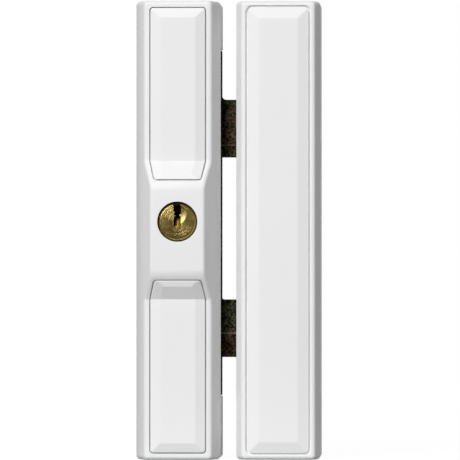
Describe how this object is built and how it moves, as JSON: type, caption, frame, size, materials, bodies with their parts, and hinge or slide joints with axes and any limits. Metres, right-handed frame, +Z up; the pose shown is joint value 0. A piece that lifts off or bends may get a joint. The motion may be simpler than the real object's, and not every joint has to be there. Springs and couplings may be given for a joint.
{
  "type": "window lock",
  "caption": "Surface-mounted window lock: a white faceted case with a key cylinder throws two flat steel tongues into a matching strike case beside it.",
  "frame": {"origin": "centre of the lock case's back, on the plane that both cases are screwed to", "axes": "+Z up along the cases, +X from the lock case towards the strike case, +Y into the window"},
  "size_m": [0.067, 0.0325, 0.165],
  "materials": {
    "white_plastic": "smooth white moulding",
    "bolt_steel": "olive passivated, lightly scratched",
    "zinc_steel": "zinc plated",
    "spring_steel": "bright rolled",
    "grey_plastic": "matte moulding",
    "brass": "turned, polished face"
  },
  "bodies": {
    "lock_case": {"lock_base_plate": "zinc_steel", "bolt_bed": "grey_plastic", "upper_bolt_guide": "grey_plastic", "lower_bolt_guide": "grey_plastic", "guide_screws": "zinc_steel", "lock_housing": "white_plastic", "housing_screws": "zinc_steel", "cylinder_body": "brass", "driver_pins": "brass", "pin_springs": "spring_steel", "chamber_caps": "brass", "cylinder_retainer": "zinc_steel", "retainer_screws": "zinc_steel", "strike_base_plate": "zinc_steel", "strike_keeper": "zinc_steel", "keeper_screws": "zinc_steel", "cover_clips": "spring_steel"},
    "key_plug": {"cylinder_plug": "brass", "key_pins": "brass", "drive_pinion": "bolt_steel", "pinion_clip": "spring_steel"},
    "bolt": {"bolt_plate": "bolt_steel", "bolt_rack": "bolt_steel", "rack_rivets": "zinc_steel"},
    "upper_lid": {"upper_lid": "white_plastic"},
    "lower_lid": {"lower_lid": "white_plastic"},
    "strike_cover": {"strike_cover": "white_plastic"}
  },
  "joints": [
    {"name": "plug_turn", "type": "hinge", "parent": "lock_case", "child": "key_plug", "pos_m": [0, 0, 0.003], "axis": [0, 1, 0], "range_deg": [0, 180]},
    {"name": "bolt_slide", "type": "slide", "parent": "lock_case", "child": "bolt", "axis": [1, 0, 0], "range_m": [-0.0121, 0]},
    {"name": "upper_lid_lift", "type": "slide", "parent": "lock_case", "child": "upper_lid", "axis": [0, -1, 0], "range_m": [0, 0.03]},
    {"name": "lower_lid_lift", "type": "slide", "parent": "lock_case", "child": "lower_lid", "axis": [0, -1, 0], "range_m": [0, 0.03]},
    {"name": "strike_cover_lift", "type": "slide", "parent": "lock_case", "child": "strike_cover", "axis": [0, -1, 0], "range_m": [0, 0.03]}
  ],
  "couplings": [
    {"joint": "plug_turn", "follows": "bolt_slide", "rad_per_m": -259.74}
  ]
}
